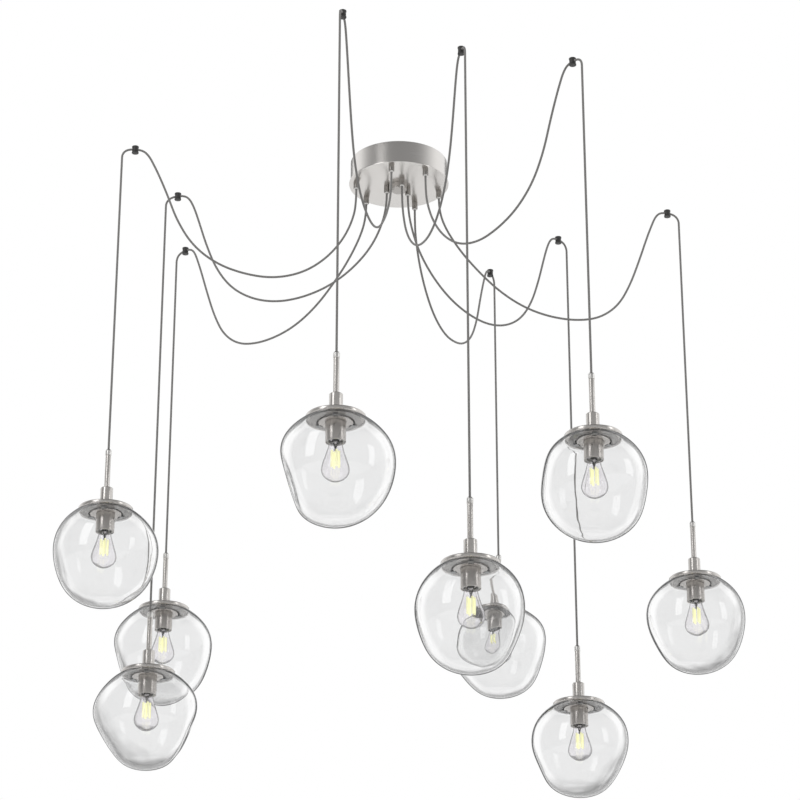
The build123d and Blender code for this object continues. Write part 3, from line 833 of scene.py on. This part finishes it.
waves = node(globe_tree, "ShaderNodeTexNoise", {"noise_dimensions": "4D"}, Vector=unit,
             W=given["Seed"], Scale=2.6, Detail=1.0).outputs["Fac"]
ripple = maths(globe_tree, "MULTIPLY", maths(globe_tree, "SUBTRACT", waves, 0.5), given["Ripple"])
wall = maths(globe_tree, "MULTIPLY", inner, maths(globe_tree, "ADD", given["Wall"], ripple))
reach = maths(globe_tree, "MULTIPLY", maths(globe_tree, "SUBTRACT", given["Radius"], wall), swell)
parts = node(globe_tree, "ShaderNodeSeparateXYZ", i0=unit).outputs
upper = maths(globe_tree, "GREATER_THAN", parts[2], 0.0)
height = node(globe_tree, "ShaderNodeMix", i0=upper, i2=given["Depth"], i3=given["Rise"]).outputs[0]
height = maths(globe_tree, "SUBTRACT", height, wall)
level = maths(globe_tree, "SUBTRACT", maths(globe_tree, "MULTIPLY", parts[2], height), given["Middle"])
ceiling = maths(globe_tree, "SUBTRACT", maths(globe_tree, "MULTIPLY", given["Top"], -1.0), wall)
level = node(globe_tree, "ShaderNodeMath", {"operation": "SMOOTH_MIN"}, i0=level, i1=ceiling,
             i2=1.2 * mm).outputs[0]
moved = node(globe_tree, "ShaderNodeCombineXYZ", i0=maths(globe_tree, "MULTIPLY", parts[0], reach),
             i1=maths(globe_tree, "MULTIPLY", parts[1], reach), i2=level).outputs[0]
# Each point's nearness to that direction, which the glass material uses for its painted highlight and
# shade.
towards_bottom = node(globe_tree, "ShaderNodeVectorMath", {"operation": "DOT_PRODUCT"}, i0=unit,
                      i1=painted_light_direction).outputs["Value"]
marked = node(globe_tree, "GeometryNodeStoreNamedAttribute", {"data_type": "FLOAT", "domain": "POINT"},
              Geometry=given["Geometry"], Name="towards_bottom", Value=towards_bottom).outputs[0]
shaped = node(globe_tree, "GeometryNodeSetPosition", Geometry=marked, Position=moved)
smooth = node(globe_tree, "GeometryNodeSetShadeSmooth", Geometry=shaped.outputs[0])
real = node(globe_tree, "GeometryNodeRealizeInstances", Geometry=smooth.outputs[0])
finished = node(globe_tree, "GeometryNodeSetMaterial", Geometry=real.outputs[0],
                Material=given["Glass"])
globe_tree.links.new(finished.outputs[0], out.inputs[0])

# The glass colour is painted: a painted white highlight across the bottom of each globe, towards the
# back, and in a band inside the outline, the rest a touch grey, and a painted dark line at the outline,
# wider on the shoulder. Only light on its way in is tinted.
clear_glass, tree, shader = material("blown_glass")
facing = node(tree, "ShaderNodeLayerWeight", Blend=0.3).outputs["Facing"]
near_edge = node(tree, "ShaderNodeMapRange", Value=facing, From_Min=0.27, From_Max=0.33).outputs[0]
lowness = node(tree, "ShaderNodeAttribute", {"attribute_name": "towards_bottom"}).outputs["Fac"]
bottom = node(tree, "ShaderNodeMapRange", Value=lowness, From_Min=0.80, From_Max=0.82).outputs[0]
shoulder = node(tree, "ShaderNodeMapRange", Value=lowness, From_Min=-0.35, From_Max=-0.75,
                To_Max=0.12)
painted_white_mask = maths(tree, "MAXIMUM", bottom, near_edge)
body_tint = mixed(tree, painted_white_mask, (0.85, 0.852, 0.853, 1), (1, 1, 1, 1))
line = node(tree, "ShaderNodeMapRange", Value=maths(tree, "ADD", facing, shoulder.outputs[0]),
            From_Min=0.59, From_Max=0.64).outputs[0]
edge_tint = mixed(tree, line, body_tint, (0.06, 0.061, 0.062, 1))
leaving = node(tree, "ShaderNodeNewGeometry").outputs["Backfacing"]
glass_colour = mixed(tree, leaving, edge_tint, (1, 1, 1, 1))
tree.links.new(glass_colour, shader.inputs["Base Color"])
shader.inputs["Transmission Weight"].default_value = 1.0
shader.inputs["Roughness"].default_value = 0.0
shader.inputs["IOR"].default_value = glass_index

unit_globe = bmesh.new()
inner_wall = unit_globe.verts.layers.float.new("inner")
hole_lift = math.acos(glass_hole / globe_diameter)
levels = 72
sides = 112
walls = []
for inside in (0, 1):
    rings = []
    for step in range(levels):
        lift = hole_lift - (hole_lift + math.pi / 2) * step / levels
        ring = []
        for side in range(sides):
            turn = 2 * math.pi * side / sides
            vertex = unit_globe.verts.new((math.cos(lift) * math.cos(turn),
                                           math.cos(lift) * math.sin(turn), math.sin(lift)))
            vertex[inner_wall] = inside
            ring.append(vertex)
        rings.append(ring)
    bottom = unit_globe.verts.new((0, 0, -1))
    bottom[inner_wall] = inside
    for ring, following in zip(rings, rings[1:]):
        for side in range(sides):
            next_side = (side + 1) % sides
            unit_globe.faces.new((ring[side], ring[next_side], following[next_side], following[side]))
    for side in range(sides):
        unit_globe.faces.new((rings[-1][side], rings[-1][(side + 1) % sides], bottom))
    walls.append(rings[0])
for side in range(sides):
    next_side = (side + 1) % sides
    unit_globe.faces.new((walls[0][side], walls[1][side], walls[1][next_side], walls[0][next_side]))
unit_mesh = bpy.data.meshes.new("unit_globe")
unit_globe.to_mesh(unit_mesh)
unit_globe.free()

for pendant, (depth, dents) in zip(pendants, globes):
    blank = bpy.data.objects.new(f"blank_{pendant.number}", unit_mesh.copy())
    bpy.context.scene.collection.objects.link(blank)
    pushes = {}
    for place in dent_places:
        side, lift, amount, width = dents[place - 1] if place <= len(dents) else no_dent
        pushes[f"Dent_{place}_Side"] = math.radians(side)
        pushes[f"Dent_{place}_Lift"] = math.radians(lift)
        pushes[f"Dent_{place}_Amount"] = float(amount)
        pushes[f"Dent_{place}_Width"] = math.radians(width)
    mesh = shaped_by(blank, globe_tree, Radius=globe_diameter / 2 * mm, Rise=rise * mm,
                     Depth=depth * bottom_share * mm, Middle=globe_middle * mm, Top=glass_top * mm,
                     Wall=glass_wall * mm, Ripple=ripple_depth * mm, Seed=float(pendant.number),
                     Glass=clear_glass, **pushes)
    closed = bmesh.new()
    closed.from_mesh(mesh)
    bmesh.ops.recalc_face_normals(closed, faces=closed.faces)
    closed.to_mesh(mesh)
    closed.free()
    hang("globe", mesh, pendant, "clear_glass", f"glass_{pendant.number}")
